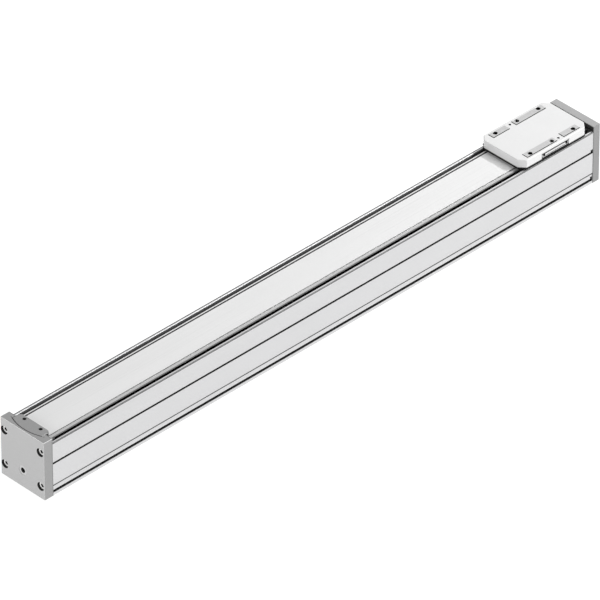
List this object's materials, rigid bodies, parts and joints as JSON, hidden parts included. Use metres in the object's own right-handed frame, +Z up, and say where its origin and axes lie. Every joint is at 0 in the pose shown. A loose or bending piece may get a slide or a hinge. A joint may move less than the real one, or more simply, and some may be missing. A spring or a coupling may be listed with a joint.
{
  "type": "electric linear axis",
  "caption": "Slim ball screw linear axis: extruded profile with plate end caps, a fixed cover strip, a low white slide on a guide rail, and a short drive shaft stub at the far end.",
  "frame": {"origin": "centre of the underside, halfway between the outer faces of the two end caps", "axes": "+X from the near end cap to the drive end, +Z up, out of the slide's mounting pads"},
  "size_m": [0.77, 0.06, 0.0742],
  "materials": {
    "profile_aluminium": "clear anodised, fine lengthwise draw lines",
    "cap_metal": "matt light grey, fine cast grain",
    "strip_steel": "bright rolled, brushed lengthwise",
    "screw_steel": "zinc plated",
    "guide_steel": "ground",
    "ring_metal": "turned",
    "slide_aluminium": "milled and clear anodised",
    "white_plastic": "fine moulded grain",
    "wiper_rubber": "matt black",
    "buffer_rubber": "matt black",
    "carriage_plastic": "moulded black"
  },
  "bodies": {
    "axis_body": {"profile_barrel": "profile_aluminium", "near_end_cap": "cap_metal", "far_end_cap": "cap_metal", "near_strip_clamp": "cap_metal", "far_strip_clamp": "cap_metal", "near_cap_screws": "screw_steel", "far_cap_screws": "screw_steel", "near_clamp_screws": "screw_steel", "far_clamp_screws": "screw_steel", "cover_strip": "strip_steel", "guide_rail": "guide_steel", "guide_rail_screws": "screw_steel", "near_buffer": "buffer_rubber", "far_buffer": "buffer_rubber", "floating_bearing_outer_ring": "guide_steel", "inboard_bearing_outer_ring": "guide_steel", "outboard_bearing_outer_ring": "guide_steel", "bearing_retaining_ring": "ring_metal"},
    "slide": {"slide_body": "slide_aluminium", "slide_cover": "white_plastic", "near_wiper": "wiper_rubber", "far_wiper": "wiper_rubber", "side_seals": "wiper_rubber", "ball_nut": "guide_steel", "ball_nut_screws": "screw_steel", "near_guide_carriage": "guide_steel", "far_guide_carriage": "guide_steel", "near_carriage_end_caps": "carriage_plastic", "far_carriage_end_caps": "carriage_plastic", "carriage_screws": "screw_steel"},
    "screw": {"ball_screw": "guide_steel", "shaft_circlip": "screw_steel", "lock_nut": "screw_steel", "floating_bearing_inner_ring": "guide_steel", "inboard_bearing_inner_ring": "guide_steel", "outboard_bearing_inner_ring": "guide_steel"}
  },
  "joints": [
    {"name": "slide_travel", "type": "slide", "parent": "axis_body", "child": "slide", "axis": [1, 0, 0], "range_m": [-0.62, 0.002]},
    {"name": "screw_turn", "type": "hinge", "parent": "axis_body", "child": "screw", "pos_m": [0, 0, 0.037], "axis": [1, 0, 0], "range_deg": [-72.1, 22320.1]}
  ],
  "couplings": [
    {"joint": "screw_turn", "follows": "slide_travel", "rad_per_m": -628.32}
  ]
}
